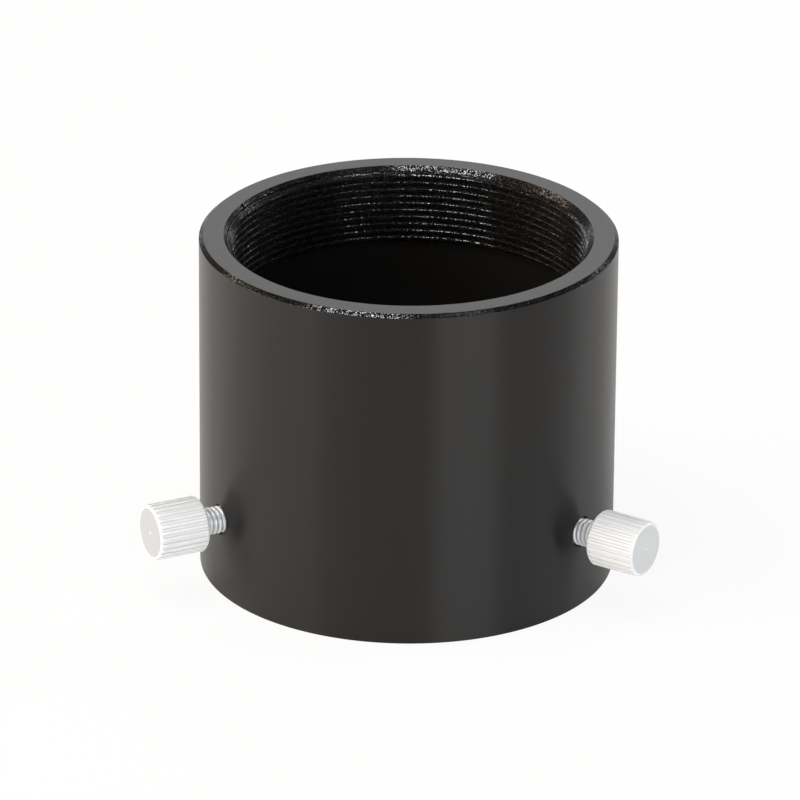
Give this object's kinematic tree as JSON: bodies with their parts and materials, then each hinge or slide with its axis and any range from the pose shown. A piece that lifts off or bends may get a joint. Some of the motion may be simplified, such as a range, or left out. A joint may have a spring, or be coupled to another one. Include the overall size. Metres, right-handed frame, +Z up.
{
  "type": "telescope thread adapter",
  "caption": "Black tube with a fine internal thread at its top and a plain barrel socket below, clamped by knurled thumbscrews through its wall.",
  "frame": {"origin": "the middle of the tube, on its bore's axis and halfway up its height, which is also the part's centroid to within half a millimetre", "axes": "+Z up along the bore's axis towards the threaded end, +Y towards the rear thumbscrew, -Y the front"},
  "size_m": [0.0732, 0.0697, 0.0496],
  "materials": {
    "black_anodised": "black anodised, matte",
    "satin_steel": "satin, turned and knurled"
  },
  "bodies": {
    "tube": {"adapter_body": "black_anodised"},
    "screw_left": {"thumbscrew_left": "satin_steel"},
    "screw_right": {"thumbscrew_right": "satin_steel"},
    "screw_rear": {"thumbscrew_rear": "satin_steel"}
  },
  "joints": [
    {"name": "clamp_left", "type": "slide", "parent": "tube", "child": "screw_left", "axis": [-0.866, -0.5, 0], "range_m": [-0.0029, 0.0025]},
    {"name": "clamp_right", "type": "slide", "parent": "tube", "child": "screw_right", "axis": [0.866, -0.5, 0], "range_m": [-0.0029, 0.0025]},
    {"name": "clamp_rear", "type": "slide", "parent": "tube", "child": "screw_rear", "axis": [0, 1, 0], "range_m": [-0.0029, 0.0025]}
  ]
}
